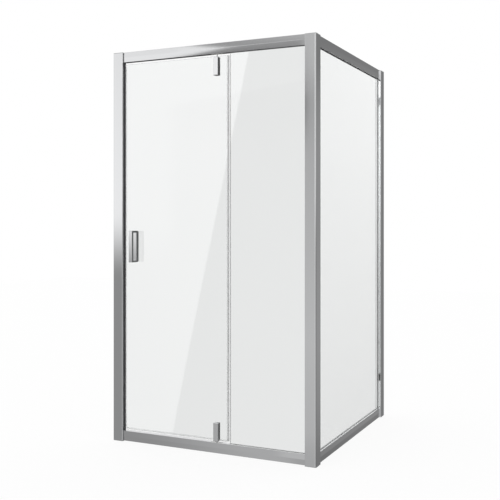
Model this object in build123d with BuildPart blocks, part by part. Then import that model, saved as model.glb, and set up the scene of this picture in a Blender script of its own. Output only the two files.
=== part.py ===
from build123d import *
import os
from collections import namedtuple

# Corner shower enclosure: a front with a pivot door and an inline fixed pane, and a fixed
# return pane on the right. X runs right along the front, Y runs from the front to the rear
# wall, Z runs up, and the origin lies under the middle of the whole enclosure, on the floor.
# All sizes are in millimetres.

# Overall sizes
width = 1074.0
depth = 991.0
height = 1900.0

# Upright profiles
post_size = 53.0
post_corner_radius = 5.0
jamb_width = 53.0
jamb_thickness = 28.0
jamb_corner_radius = 3.0
profile_wall = 1.8
cap_thickness = 2.0
cap_plug_depth = 10.0
cap_plug_fit = 0.6

# Rails
rail_height = 48.0
rail_thickness = 24.0
rail_setback = 8.0
rail_floor_gap = 2.5
rail_ridge = 0.8
slot_width = 12.0
slot_depth = 16.0

# Glass and its gaskets
glass_thickness = 6.0
glass_bite = 12.0
glass_corner_radius = 3.0
gasket_lip = 0.5

# Where the door and the fixed pane divide, and where the door turns, from the outer face
# of the corner post
fixed_edge_from_corner = 434.0
pivot_from_corner = 504.0
door_seal_gap = 10.0
door_low_gap = 9.0
door_high_gap = 11.0

# Wall channels inside the jambs
channel_depth = 30.0
channel_fit = 0.3
wall_hole_diameter = 6.0
wall_hole_count = 4
wall_hole_pitch = 530.0

# Screws of the frame
screw_diameter = 4.0
screw_head_diameter = 8.0
screw_head_height = 2.4
screw_tip = 4.0
screw_fit = 0.1
jamb_screw_count = 3
jamb_screw_pitch = 650.0
jamb_screw_from_wall = 15.0
jamb_screw_length = 9.0
screw_cap_diameter = 12.0
screw_cap_height = 4.0

# Brackets inside the rail ends
bracket_length = 36.0
bracket_fit = 0.2
bracket_bore_depth = 20.0
bracket_screw_inset = 18.0
bracket_screw_length = 7.0

# Pivot bearings in the front rails
pivot_block_length = 60.0
pivot_block_screw_spacing = 40.0
bush_diameter = 9.0
bush_length = 14.0
bush_floor = 2.0
bush_flange_diameter = 11.4
bush_flange = 1.5
pin_diameter = 6.0
pin_running_clearance = 0.05
pin_core_clearance = 0.02
pin_end_gap = 0.3

# Hinges on the door glass
hinge_width = 24.0
hinge_height = 84.0
hinge_low_overhang = 2.0
hinge_high_inset = 5.0
hinge_cover_thickness = 12.0
hinge_clamp_thickness = 6.0
hinge_edge_radius = 1.2
hinge_pad = 1.0
hinge_core_width = 16.0
hinge_core_thickness = 14.0
hinge_core_height = 30.0
hinge_core_fit = 0.1
hinge_screw_heights = (42.0, 70.0)
notch_clearance = 0.6
pin_grip = 22.0

# Screws through the door glass
glass_screw_diameter = 5.0
glass_screw_head_diameter = 9.0
glass_screw_head_height = 3.0
glass_screw_grip = 8.0
glass_screw_fit = 0.1
glass_hole_diameter = 9.0
hex_socket_width = 3.0
hex_socket_depth = 1.6

# Handle
handle_from_corner = 952.0
handle_mid_height = 953.0
handle_depth = 49.0
handle_width = 19.0
handle_height = 152.0
handle_bar = 12.5
handle_end_bar = 8.0
handle_corner_radius = 2.0
handle_edge_radius = 0.8
handle_pad = 1.0
handle_screw_spacing = 120.0
handle_plate_width = 14.0
handle_plate_height = 146.0
handle_plate_thickness = 3.5
handle_plate_corner = 3.0
handle_plate_recess = 1.5

# Seals
magnet_width = 11.0
magnet_thickness = 3.2
magnet_gap = 0.4
magnet_low_inset = 5.0
magnet_high_inset = 10.0
jamb_magnet_thickness = 2.7
insert_wall = 1.5
seal_wall = 1.0
seal_leg = 7.0
seal_bulb_thickness = 4.0
seal_bulb_gap = 0.5
seal_fin_thickness = 1.0
seal_fin_reach = 13.0
seal_fin_gap = 0.4
sweep_fin_height = 6.0
sweep_end_gap = 1.0
infill_wall = 1.5
infill_depth = 14.0

# Planes that the sizes above settle
glass_offset = rail_setback + rail_thickness / 2
handle_reach = handle_depth + handle_pad + glass_thickness / 2 - glass_offset
left_x = -width / 2
right_x = width / 2
front_y = -(depth - handle_reach) / 2
back_y = front_y + depth
glass_y = front_y + glass_offset
glass_x = right_x - glass_offset
jamb_face_x = left_x + jamb_width
post_face_x = right_x - post_size
post_face_y = front_y + post_size
jamb_face_y = back_y - jamb_width
bottom_rail_top = rail_floor_gap + rail_height
top_rail_bottom = height - rail_height
front_rail_length = post_face_x - jamb_face_x
side_rail_length = jamb_face_y - post_face_y
upright_length = height - 2 * cap_thickness
screw_hole_radius = (screw_diameter + screw_fit) / 2
pivot_x = right_x - pivot_from_corner
fixed_edge_x = right_x - fixed_edge_from_corner
door_pivot_edge_x = fixed_edge_x - door_seal_gap
door_close_edge_x = jamb_face_x + magnet_gap + magnet_thickness + seal_wall
door_low_z = bottom_rail_top + door_low_gap
door_high_z = top_rail_bottom - door_high_gap
hinge_low_z = door_low_z - hinge_low_overhang
hinge_high_z = door_high_z - hinge_high_inset
glass_half = glass_thickness / 2
slot_near = (rail_thickness - slot_width) / 2
slot_far = slot_near + slot_width
cavity_height = rail_height - 2 * profile_wall - slot_depth
bracket_mid = profile_wall + cavity_height / 2
glass_hole_radius = glass_hole_diameter / 2
glass_screw_hole_radius = (glass_screw_diameter + glass_screw_fit) / 2
pin_bush_depth = bush_length - bush_floor - pin_end_gap
handle_x = right_x - handle_from_corner
handle_screw_heights = [
    handle_mid_height - handle_screw_spacing / 2,
    handle_mid_height + handle_screw_spacing / 2,
]

# The post has its own frame: x runs left and y inwards from the outer corner of the
# enclosure, and z runs down from its top end
post_plane = Plane((right_x, front_y, height), (-1, 0, 0), (0, 0, -1))

# Pane planes look outwards, so each pane is drawn on its inner face and grows outwards
front_inner_face = Plane.XZ.offset(-(glass_y + glass_half))
side_inner_face = Plane((glass_x - glass_half, 0, 0), (0, 1, 0), (1, 0, 0))
front_pane_span = (fixed_edge_x, post_face_x + glass_bite)
side_pane_span = (post_face_y - glass_bite, jamb_face_y + glass_bite)
pane_low = bottom_rail_top - glass_bite
pane_high = top_rail_bottom + glass_bite

# Slot floors of the uprights that hold a pane, with x out of the slot
post_front_slot = Plane((post_face_x + slot_depth, glass_y, 0), (-1, 0, 0), (0, 0, 1))
post_side_slot = Plane((glass_x, post_face_y - slot_depth, 0), (0, 1, 0), (0, 0, 1))
rear_jamb_slot = Plane((glass_x, jamb_face_y + slot_depth, 0), (0, -1, 0), (0, 0, 1))

# A screw is known by its shank, its head and the height of its head
Screw = namedtuple("Screw", "diameter head_diameter head_height")
frame_screw = Screw(screw_diameter, screw_head_diameter, screw_head_height)
glass_screw = Screw(glass_screw_diameter, glass_screw_head_diameter, glass_screw_head_height)

# A rail has its own frame: x runs inwards from its outer face, y from its closed side to
# the mouth of its slot, and z along its run. The post is at the far end where post_last.
Rail = namedtuple("Rail", "plane length post_last")
rails = {
    "front_bottom": Rail(
        Plane((jamb_face_x, front_y + rail_setback, rail_floor_gap), (0, 1, 0), (1, 0, 0)),
        front_rail_length,
        True,
    ),
    "front_top": Rail(
        Plane((post_face_x, front_y + rail_setback, height), (0, 1, 0), (-1, 0, 0)),
        front_rail_length,
        False,
    ),
    "side_bottom": Rail(
        Plane((right_x - rail_setback, post_face_y, rail_floor_gap), (-1, 0, 0), (0, 1, 0)),
        side_rail_length,
        False,
    ),
    "side_top": Rail(
        Plane((right_x - rail_setback, jamb_face_y, height), (-1, 0, 0), (0, -1, 0)),
        side_rail_length,
        True,
    ),
}

# A jamb has its own frame: x runs away from the wall, y inwards from its outer face, and z
# along its length.
Jamb = namedtuple("Jamb", "plane climbs")
jambs = {
    "left": Jamb(Plane((left_x, front_y, 0), (1, 0, 0), (0, 0, 1)), True),
    "rear": Jamb(Plane((right_x, back_y, height), (0, -1, 0), (0, 0, -1)), False),
}

# A hinge has its own frame: y runs inwards from the middle of the glass, and z from the end
# of the hinge that faces the rail, over the glass.
Hinge = namedtuple("Hinge", "plane end_z inward")
hinges = {
    "bottom": Hinge(Plane((pivot_x, glass_y, hinge_low_z), (1, 0, 0), (0, 0, 1)), hinge_low_z, 1),
    "top": Hinge(
        Plane((pivot_x, glass_y, hinge_high_z), (-1, 0, 0), (0, 0, -1)), hinge_high_z, -1
    ),
}


def run_at(rail, from_post):
    """Distance along a rail's run of a point at a distance from the post's face."""
    return rail.length - from_post if rail.post_last else from_post


def rise_at(jamb, z):
    """Distance along a jamb's frame of a height above the floor."""
    return z if jamb.climbs else height - z


def brick(low, high, mode=Mode.ADD):
    """Rectangular block between two opposite corners, in the active part."""
    size = [b - a for a, b in zip(low, high)]
    with Locations(low):
        Box(*size, align=(Align.MIN, Align.MIN, Align.MIN), mode=mode)


def rod(radius, length, start, toward, mode=Mode.ADD):
    """Round bar, or a hole, from a point in a direction, in the active part."""
    with Locations(Plane(origin=start, z_dir=toward)):
        Cylinder(radius, length, align=(Align.CENTER, Align.CENTER, Align.MIN), mode=mode)


def socket_screw(seat, into, size, length):
    """Screw with its head on a seat and its shank in a direction, in the active part."""
    seat = Vector(seat)
    into = Vector(into)
    mouth = seat - into * size.head_height
    rod(size.head_diameter / 2, size.head_height, seat, -into)
    rod(size.diameter / 2, length, seat, into)
    with BuildSketch(Plane(origin=mouth, z_dir=into)) as socket:
        RegularPolygon(hex_socket_width / 2, 6, major_radius=False)
    extrude(socket.sketch, amount=hex_socket_depth, mode=Mode.SUBTRACT)


def save(piece, name):
    """Labels a finished sub-part and writes it."""
    piece.part.label = name
    export_step(piece.part, f"parts/{name}.step")


def rail_section(plane):
    """Hollow rail with a ridged outer face and a glazing slot in its mouth."""
    wall = profile_wall
    with BuildSketch(plane) as section:
        with BuildLine():
            Polyline(
                (0, 0),
                (rail_thickness, 0),
                (rail_thickness, rail_height),
                (0, rail_height),
                (-rail_ridge, rail_height / 2),
                close=True,
            )
        make_face()
        with Locations((rail_thickness / 2, rail_height / 2)):
            Rectangle(rail_thickness - 2 * wall, rail_height - 2 * wall, mode=Mode.SUBTRACT)
        with Locations((rail_thickness / 2, rail_height - (slot_depth + wall) / 2)):
            Rectangle(slot_width + 2 * wall, slot_depth + wall)
        with Locations((rail_thickness / 2, rail_height - wall / 2)):
            Rectangle(rail_thickness, wall)
        with Locations((rail_thickness / 2, rail_height - slot_depth / 2)):
            Rectangle(slot_width, slot_depth, mode=Mode.SUBTRACT)
    return section.sketch


def pivot_screw_runs(rail):
    """Places along a front rail of the two screws that hold its pivot block."""
    middle = run_at(rail, pivot_from_corner - post_size)
    return [middle - pivot_block_screw_spacing / 2, middle + pivot_block_screw_spacing / 2]


def rail_profile(rail, with_pivot):
    """One rail with its clamp screw holes, and the pivot block's holes in a front rail."""
    with BuildPart(rail.plane) as piece:
        extrude(rail_section(rail.plane), amount=rail.length)
        for run in (bracket_screw_inset, rail.length - bracket_screw_inset):
            start = (rail_thickness - profile_wall, bracket_mid, run)
            rod(screw_hole_radius, profile_wall, start, (1, 0, 0), Mode.SUBTRACT)
        if with_pivot:
            for run in pivot_screw_runs(rail):
                start = (rail_thickness / 2, rail_height - slot_depth, run)
                rod(screw_hole_radius, profile_wall, start, (0, -1, 0), Mode.SUBTRACT)
    return piece


def rail_gasket(rail, near, far):
    """Glazing gasket in a stretch of a rail's slot, round the edge of the pane."""
    run_a, run_b = sorted((run_at(rail, near), run_at(rail, far)))
    middle = rail_thickness / 2
    lip = rail_height + gasket_lip
    with BuildPart(rail.plane) as piece:
        brick((slot_near, rail_height - slot_depth, run_a), (slot_far, lip, run_b))
        low = (middle - glass_half, rail_height - glass_bite, run_a)
        brick(low, (middle + glass_half, lip, run_b), Mode.SUBTRACT)
    return piece


def rail_infills(rail):
    """Two covers that close a front rail's slot over the door, on each side of the pivot."""
    middle = pivot_from_corner - post_size
    stretches = (
        (fixed_edge_from_corner - post_size, middle - pivot_block_length / 2),
        (middle + pivot_block_length / 2, rail.length),
    )
    inner_width = slot_width - 2 * infill_wall
    with BuildPart(rail.plane) as piece:
        for near, far in stretches:
            run_a, run_b = sorted((run_at(rail, near), run_at(rail, far)))
            brick((slot_near, rail_height - infill_depth, run_a), (slot_far, rail_height, run_b))
            low = (rail_thickness / 2 - inner_width / 2, rail_height - infill_depth, run_a)
            high = (rail_thickness / 2 + inner_width / 2, rail_height - infill_wall, run_b)
            brick(low, high, Mode.SUBTRACT)
    return piece


def pivot_block(rail):
    """Block in a front rail's slot that carries the door's bush and takes two screws."""
    middle = run_at(rail, pivot_from_corner - post_size)
    half = pivot_block_length / 2
    floor = rail_height - slot_depth
    with BuildPart(rail.plane) as piece:
        brick((slot_near, floor, middle - half), (slot_far, rail_height, middle + half))
        bore = (rail_thickness / 2, rail_height, middle)
        rod(bush_diameter / 2, slot_depth, bore, (0, -1, 0), Mode.SUBTRACT)
        for run in pivot_screw_runs(rail):
            start = (rail_thickness / 2, rail_height, run)
            rod(screw_hole_radius, slot_depth, start, (0, -1, 0), Mode.SUBTRACT)
            seat_radius = screw_head_diameter / 2 + screw_fit
            rod(seat_radius, screw_head_height, start, (0, -1, 0), Mode.SUBTRACT)
    return piece


def pivot_bush(rail, blind):
    """Flanged bush of the door's pin, with a floor in the rail that carries the weight."""
    middle = run_at(rail, pivot_from_corner - post_size)
    top = (rail_thickness / 2, rail_height, middle)
    mouth = (rail_thickness / 2, rail_height + bush_flange, middle)
    bore_depth = bush_flange + bush_length - (bush_floor if blind else 0)
    with BuildPart(rail.plane) as piece:
        rod(bush_diameter / 2, bush_length, top, (0, -1, 0))
        rod(bush_flange_diameter / 2, bush_flange, top, (0, 1, 0))
        bore_radius = pin_diameter / 2 + pin_running_clearance
        rod(bore_radius, bore_depth, mouth, (0, -1, 0), Mode.SUBTRACT)
    return piece


def pivot_block_screws():
    """Four screws that hold the two pivot blocks to the floors of the slots."""
    seat_v = rail_height - screw_head_height
    length = slot_depth - screw_head_height + profile_wall + screw_tip
    with BuildPart() as piece:
        for rail in (rails["front_bottom"], rails["front_top"]):
            for run in pivot_screw_runs(rail):
                seat = rail.plane.from_local_coords(Vector(rail_thickness / 2, seat_v, run))
                socket_screw(seat, -rail.plane.y_dir, frame_screw, length)
    return piece


def rail_brackets():
    """Eight blocks inside the rail ends, each with a tongue in the upright's slot."""
    low_u = profile_wall + bracket_fit
    high_u = rail_thickness - low_u
    low_v = profile_wall + bracket_fit
    high_v = profile_wall + cavity_height - bracket_fit
    tongue = slot_depth - bracket_fit
    middle = rail_thickness / 2
    with BuildPart() as piece:
        for rail in rails.values():
            with Locations(rail.plane):
                for end, inward in ((0, 1), (rail.length, -1)):
                    near, far = sorted((end, end + inward * bracket_length))
                    brick((low_u, low_v, near), (high_u, high_v, far))
                    tip, root = sorted((end - inward * tongue, end))
                    low = (slot_near + bracket_fit, low_v, tip)
                    brick(low, (slot_far - bracket_fit, high_v, root))
                    start = (middle, bracket_mid, end - inward * tongue)
                    through = tongue + bracket_length
                    rod(screw_hole_radius, through, start, (0, 0, inward), Mode.SUBTRACT)
                    start = (middle, bracket_mid, end + inward * bracket_length)
                    bore_radius = screw_head_diameter / 2 + bracket_fit
                    rod(bore_radius, bracket_bore_depth, start, (0, 0, -inward), Mode.SUBTRACT)
                    start = (high_u, bracket_mid, end + inward * bracket_screw_inset)
                    pilot = bracket_screw_length - profile_wall
                    rod(screw_hole_radius, pilot, start, (-1, 0, 0), Mode.SUBTRACT)
    return piece


def rail_anchor_screws():
    """Eight screws along the rails, through the brackets into the floors of the slots."""
    seat_run = bracket_length - bracket_bore_depth
    length = seat_run + slot_depth + profile_wall + screw_tip
    with BuildPart() as piece:
        for rail in rails.values():
            for end, inward in ((0, 1), (rail.length, -1)):
                local = Vector(rail_thickness / 2, bracket_mid, end + inward * seat_run)
                seat = rail.plane.from_local_coords(local)
                socket_screw(seat, rail.plane.z_dir * -inward, frame_screw, length)
    return piece


def rail_clamp_screws():
    """Eight screws on the inner faces of the rails, into the brackets."""
    with BuildPart() as piece:
        for rail in rails.values():
            for run in (bracket_screw_inset, rail.length - bracket_screw_inset):
                seat = rail.plane.from_local_coords(Vector(rail_thickness, bracket_mid, run))
                socket_screw(seat, -rail.plane.x_dir, frame_screw, bracket_screw_length)
    return piece


def draw_post_square(sketch):
    """Draws the square of the post in an open sketch, rounded at its outer corner."""
    Rectangle(post_size, post_size, align=Align.MIN)
    corner = sketch.vertices().group_by(Axis.X)[0].sort_by(Axis.Y)[0]
    fillet(corner, post_corner_radius)


def post_outline(plane):
    """Full outline of the post."""
    with BuildSketch(plane) as outline:
        draw_post_square(outline)
    return outline.sketch


def post_section(plane):
    """Hollow square post with one glazing slot towards the front rails and one to the side."""
    wall = profile_wall
    deep = slot_depth + wall
    box_width = slot_width + 2 * wall
    with BuildSketch(plane) as section:
        draw_post_square(section)
        offset(amount=-wall, mode=Mode.SUBTRACT)
        with Locations((post_size - deep / 2, glass_offset)):
            Rectangle(deep, box_width)
        with Locations((glass_offset, post_size - deep / 2)):
            Rectangle(box_width, deep)
        with Locations((post_size - slot_depth / 2, glass_offset)):
            Rectangle(slot_depth, slot_width, mode=Mode.SUBTRACT)
        with Locations((glass_offset, post_size - slot_depth / 2)):
            Rectangle(slot_width, slot_depth, mode=Mode.SUBTRACT)
    return section.sketch


def corner_post():
    """Corner post with the four anchor screw holes in the floors of its slots."""
    low = bracket_mid
    high = height - rail_floor_gap - bracket_mid
    floor = post_size - slot_depth
    with BuildPart(post_plane) as piece:
        extrude(post_section(post_plane.offset(cap_thickness)), amount=upright_length)
        for down in (low, high):
            start = (floor, glass_offset, down)
            rod(screw_hole_radius, profile_wall, start, (-1, 0, 0), Mode.SUBTRACT)
            start = (glass_offset, floor, down)
            rod(screw_hole_radius, profile_wall, start, (0, -1, 0), Mode.SUBTRACT)
    return piece


def post_cap(down, plug_toward):
    """Cap over one end of the corner post, with a plug in the post's inner corner."""
    plug_low = glass_offset + slot_width / 2 + profile_wall + cap_plug_fit
    plug_high = post_size - profile_wall - cap_plug_fit
    plug_down = down + cap_thickness if plug_toward > 0 else down - cap_plug_depth
    with BuildPart(post_plane) as piece:
        extrude(post_outline(post_plane.offset(down)), amount=cap_thickness)
        low = (plug_low, plug_low, plug_down)
        brick(low, (plug_high, plug_high, plug_down + cap_plug_depth))
    return piece


def draw_jamb_oblong(sketch):
    """Draws the oblong of a jamb in an open sketch, rounded at its outer corner."""
    Rectangle(jamb_width, jamb_thickness, align=Align.MIN)
    corner = sketch.vertices().group_by(Axis.X)[-1].sort_by(Axis.Y)[0]
    fillet(corner, jamb_corner_radius)


def jamb_outline(plane):
    """Full outline of a jamb."""
    with BuildSketch(plane) as outline:
        draw_jamb_oblong(outline)
    return outline.sketch


def jamb_section(plane):
    """Hollow jamb with a pocket for the wall channel and a slot towards the enclosure."""
    wall = profile_wall
    pocket = jamb_width - slot_depth - wall
    with BuildSketch(plane) as section:
        draw_jamb_oblong(section)
        offset(amount=-wall, mode=Mode.SUBTRACT)
        with Locations((pocket / 2, jamb_thickness / 2)):
            Rectangle(pocket, jamb_thickness - 2 * wall, mode=Mode.SUBTRACT)
        with Locations((pocket + wall / 2, jamb_thickness / 2)):
            Rectangle(wall, jamb_thickness - 2 * wall)
        with Locations((jamb_width - slot_depth / 2, glass_offset)):
            Rectangle(slot_depth, slot_width + 2 * wall)
            Rectangle(slot_depth, slot_width, mode=Mode.SUBTRACT)
    return section.sketch


def jamb_screw_rises():
    """Heights in a jamb's frame of the screws that hold it to its wall channel."""
    first = height / 2 - jamb_screw_pitch * (jamb_screw_count - 1) / 2
    return [first + jamb_screw_pitch * i for i in range(jamb_screw_count)]


def jamb_profile(jamb):
    """Jamb with its anchor screw holes and the holes of its fixing screws."""
    with BuildPart(jamb.plane) as piece:
        extrude(jamb_section(jamb.plane.offset(cap_thickness)), amount=upright_length)
        for z in (rail_floor_gap + bracket_mid, height - bracket_mid):
            start = (jamb_width - slot_depth, glass_offset, rise_at(jamb, z))
            rod(screw_hole_radius, profile_wall, start, (-1, 0, 0), Mode.SUBTRACT)
        for rise in jamb_screw_rises():
            start = (jamb_screw_from_wall, jamb_thickness, rise)
            rod(screw_hole_radius, profile_wall, start, (0, -1, 0), Mode.SUBTRACT)
    return piece


def wall_hole_rises():
    """Heights in a jamb's frame of the wall fixing holes."""
    first = height / 2 - wall_hole_pitch * (wall_hole_count - 1) / 2
    return [first + wall_hole_pitch * i for i in range(wall_hole_count)]


def wall_channel(jamb):
    """Channel that is screwed to the wall inside a jamb."""
    low = profile_wall + channel_fit
    high = jamb_thickness - low
    with BuildPart(jamb.plane) as piece:
        brick((0, low, cap_thickness), (channel_depth, high, cap_thickness + upright_length))
        inner_low = (profile_wall, low + profile_wall, cap_thickness)
        inner_high = (channel_depth, high - profile_wall, cap_thickness + upright_length)
        brick(inner_low, inner_high, Mode.SUBTRACT)
        for rise in wall_hole_rises():
            start = (0, jamb_thickness / 2, rise)
            rod(wall_hole_diameter / 2, profile_wall, start, (1, 0, 0), Mode.SUBTRACT)
        for rise in jamb_screw_rises():
            start = (jamb_screw_from_wall, high, rise)
            rod(screw_hole_radius, profile_wall, start, (0, -1, 0), Mode.SUBTRACT)
    return piece


def jamb_screws():
    """Six screws that hold the jambs to their wall channels."""
    with BuildPart() as piece:
        for jamb in jambs.values():
            for rise in jamb_screw_rises():
                local = Vector(jamb_screw_from_wall, jamb_thickness, rise)
                seat = jamb.plane.from_local_coords(local)
                socket_screw(seat, -jamb.plane.y_dir, frame_screw, jamb_screw_length)
    return piece


def jamb_screw_caps():
    """Six round caps over the fixing screws, on the inner faces of the jambs."""
    recess_radius = screw_head_diameter / 2 + screw_fit
    with BuildPart() as piece:
        for jamb in jambs.values():
            with Locations(jamb.plane):
                for rise in jamb_screw_rises():
                    start = (jamb_screw_from_wall, jamb_thickness, rise)
                    rod(screw_cap_diameter / 2, screw_cap_height, start, (0, 1, 0))
                    depth_of_recess = screw_head_height + screw_fit
                    rod(recess_radius, depth_of_recess, start, (0, 1, 0), Mode.SUBTRACT)
    return piece


def jamb_caps(jamb):
    """Two caps over the ends of a jamb, with plugs beside its slot and behind its web."""
    inset = profile_wall + cap_plug_fit
    web = jamb_width - slot_depth
    slot_side = glass_offset - slot_width / 2 - inset
    with BuildPart(jamb.plane) as piece:
        for end, inward in ((0, 1), (height, -1)):
            plug_end = end + inward * (cap_thickness + cap_plug_depth)
            plug_low, plug_high = sorted((end + inward * cap_thickness, plug_end))
            plate = jamb_outline(jamb.plane.offset(end))
            extrude(plate, amount=inward * cap_thickness)
            low = (web + cap_plug_fit, inset, plug_low)
            brick(low, (jamb_width - inset, slot_side, plug_high))
            low = (channel_depth + cap_plug_fit, inset, plug_low)
            brick(low, (web - inset, jamb_thickness - inset, plug_high))
    return piece


def pane(face_plane, span, low, high):
    """Plain pane with rounded corners, drawn on the plane of its far face."""
    left, right = sorted(span)
    with BuildPart() as piece:
        with BuildSketch(face_plane) as outline:
            with Locations(((left + right) / 2, (low + high) / 2)):
                RectangleRounded(right - left, high - low, glass_corner_radius)
        extrude(amount=glass_thickness)
    return piece


def upright_gasket(plane_at):
    """Glazing gasket in the slot of an upright, from a plane with x out of the slot."""
    lip = slot_depth + gasket_lip
    bottom = bottom_rail_top + gasket_lip
    top = top_rail_bottom - gasket_lip
    with BuildPart() as piece:
        with BuildSketch(plane_at.offset(bottom)) as section:
            with Locations((lip / 2, 0)):
                Rectangle(lip, slot_width)
            with Locations((lip - (glass_bite + gasket_lip) / 2, 0)):
                Rectangle(glass_bite + gasket_lip, glass_thickness, mode=Mode.SUBTRACT)
        extrude(amount=top - bottom)
    return piece


def magnet_insert():
    """Channel in the left jamb's slot that holds the jamb's magnetic strip."""
    depth_of_insert = slot_depth - jamb_magnet_thickness
    plane_at = Plane((jamb_face_x - slot_depth, glass_y, bottom_rail_top), (1, 0, 0), (0, 0, 1))
    hollow = depth_of_insert - 2 * insert_wall
    with BuildPart() as piece:
        with BuildSketch(plane_at) as section:
            with Locations((depth_of_insert / 2, 0)):
                Rectangle(depth_of_insert, slot_width)
                Rectangle(hollow, slot_width - 2 * insert_wall, mode=Mode.SUBTRACT)
        extrude(amount=top_rail_bottom - bottom_rail_top)
    return piece


def jamb_magnet():
    """Magnetic strip of the left jamb, flush with the face that the door closes on."""
    low_x = jamb_face_x - jamb_magnet_thickness
    with BuildPart() as piece:
        low = (low_x, glass_y - magnet_width / 2, bottom_rail_top)
        brick(low, (jamb_face_x, glass_y + magnet_width / 2, top_rail_bottom))
    return piece


def door_glass():
    """Door pane with a notch for each hinge core and holes for the clamp screws."""
    left, right = door_close_edge_x, door_pivot_edge_x
    notch_width = hinge_core_width + 2 * notch_clearance
    with BuildPart() as piece:
        with BuildSketch(Plane.XZ.offset(-(glass_y + glass_half))) as outline:
            with Locations(((left + right) / 2, (door_low_z + door_high_z) / 2)):
                RectangleRounded(right - left, door_high_z - door_low_z, glass_corner_radius)
            for hinge, edge_z in ((hinges["bottom"], door_low_z), (hinges["top"], door_high_z)):
                up = hinge.inward
                notch_end = hinge.end_z + up * (hinge_core_height + notch_clearance)
                low, high = sorted((edge_z, notch_end))
                with Locations((pivot_x, (low + high) / 2)):
                    Rectangle(notch_width, high - low, mode=Mode.SUBTRACT)
                for rise in hinge_screw_heights:
                    with Locations((pivot_x, hinge.end_z + up * rise)):
                        Circle(glass_hole_radius, mode=Mode.SUBTRACT)
            with Locations((handle_x, handle_mid_height)):
                with GridLocations(0, handle_screw_spacing, 1, 2):
                    Circle(glass_hole_radius, mode=Mode.SUBTRACT)
        extrude(amount=glass_thickness)
    return piece


def magnet_seal():
    """Clip of the door's magnetic seal, over the closing edge of the glass."""
    edge = door_close_edge_x
    low_z = door_low_z + magnet_low_inset
    outer = glass_half + seal_wall
    plane_at = Plane((edge, glass_y, low_z), (1, 0, 0), (0, 0, 1))
    with BuildPart() as piece:
        with BuildSketch(plane_at) as section:
            with Locations(((seal_leg - seal_wall) / 2, 0)):
                Rectangle(seal_leg + seal_wall, 2 * outer)
            with Locations((-seal_wall / 2, 0)):
                Rectangle(seal_wall, magnet_width)
            with Locations((seal_leg / 2, 0)):
                Rectangle(seal_leg, glass_thickness, mode=Mode.SUBTRACT)
        extrude(amount=door_high_z - magnet_high_inset - low_z)
    return piece


def door_magnet():
    """Magnetic strip on the closing edge of the door."""
    far_x = door_close_edge_x - seal_wall
    with BuildPart() as piece:
        low = (far_x - magnet_thickness, glass_y - magnet_width / 2, door_low_z + magnet_low_inset)
        high = (far_x, glass_y + magnet_width / 2, door_high_z - magnet_high_inset)
        brick(low, high)
    return piece


def pivot_edge_seal():
    """Clip with a bulb and an inner fin, on the door edge that meets the fixed pane."""
    outer = glass_half + seal_wall
    bulb_end = door_seal_gap - seal_bulb_gap
    fin_near = glass_half + seal_fin_gap
    plane_at = Plane((door_pivot_edge_x, glass_y, door_low_z), (1, 0, 0), (0, 0, 1))
    with BuildPart() as piece:
        with BuildSketch(plane_at) as section:
            with Locations(((seal_wall - seal_leg) / 2, 0)):
                Rectangle(seal_leg + seal_wall, 2 * outer)
            with Locations((-seal_leg / 2, 0)):
                Rectangle(seal_leg, glass_thickness, mode=Mode.SUBTRACT)
            with Locations(((seal_wall + bulb_end) / 2, 0)):
                Rectangle(bulb_end - seal_wall, seal_bulb_thickness)
            with BuildLine():
                Polyline(
                    (0, outer),
                    (seal_wall, outer - seal_fin_thickness),
                    (seal_wall, fin_near),
                    (seal_fin_reach, fin_near),
                    (seal_fin_reach, fin_near + seal_fin_thickness / 2),
                    (seal_wall, fin_near + seal_fin_thickness),
                    close=True,
                )
            make_face()
        extrude(amount=door_high_z - door_low_z)
    return piece


def door_sweep():
    """Two lengths of bottom seal with a fin, on each side of the bottom hinge."""
    outer = glass_half + seal_wall
    hinge_half = hinge_width / 2 + sweep_end_gap
    first = door_close_edge_x + seal_leg + sweep_end_gap
    last = door_pivot_edge_x - seal_leg - sweep_end_gap
    spans = ((first, pivot_x - hinge_half), (pivot_x + hinge_half, last))
    with BuildPart() as piece:
        for start, end in spans:
            with BuildSketch(Plane((start, glass_y, door_low_z), (0, 1, 0), (1, 0, 0))) as section:
                with Locations((0, (seal_leg - seal_wall) / 2)):
                    Rectangle(2 * outer, seal_leg + seal_wall)
                with Locations((0, seal_leg / 2)):
                    Rectangle(glass_thickness, seal_leg, mode=Mode.SUBTRACT)
                with Locations((0, -seal_wall - sweep_fin_height / 2)):
                    Rectangle(seal_fin_thickness, sweep_fin_height)
            extrude(amount=end - start)
    return piece


def hinge_holes(radius, start_y, length, inward):
    """Holes for the two clamp screws of a hinge, in the active part."""
    for rise in hinge_screw_heights:
        rod(radius, length, (0, start_y, rise), (0, inward, 0), Mode.SUBTRACT)


def hinge_cover(hinge):
    """Outer half of a hinge, with a pocket for the core and blind screw holes."""
    face = -(glass_half + hinge_pad)
    half = hinge_width / 2
    core_half = hinge_core_width / 2 + hinge_core_fit
    core_face = -hinge_core_thickness / 2 - hinge_core_fit
    with BuildPart(hinge.plane) as piece:
        brick((-half, face - hinge_cover_thickness, 0), (half, face, hinge_height))
        outer = piece.faces().sort_by(Axis.Y)[0]
        fillet(outer.edges(), hinge_edge_radius)
        low = (-core_half, core_face, 0)
        brick(low, (core_half, face, hinge_core_height + hinge_core_fit), Mode.SUBTRACT)
        hinge_holes(glass_screw_hole_radius, face, glass_screw_grip, -1)
    return piece


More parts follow.
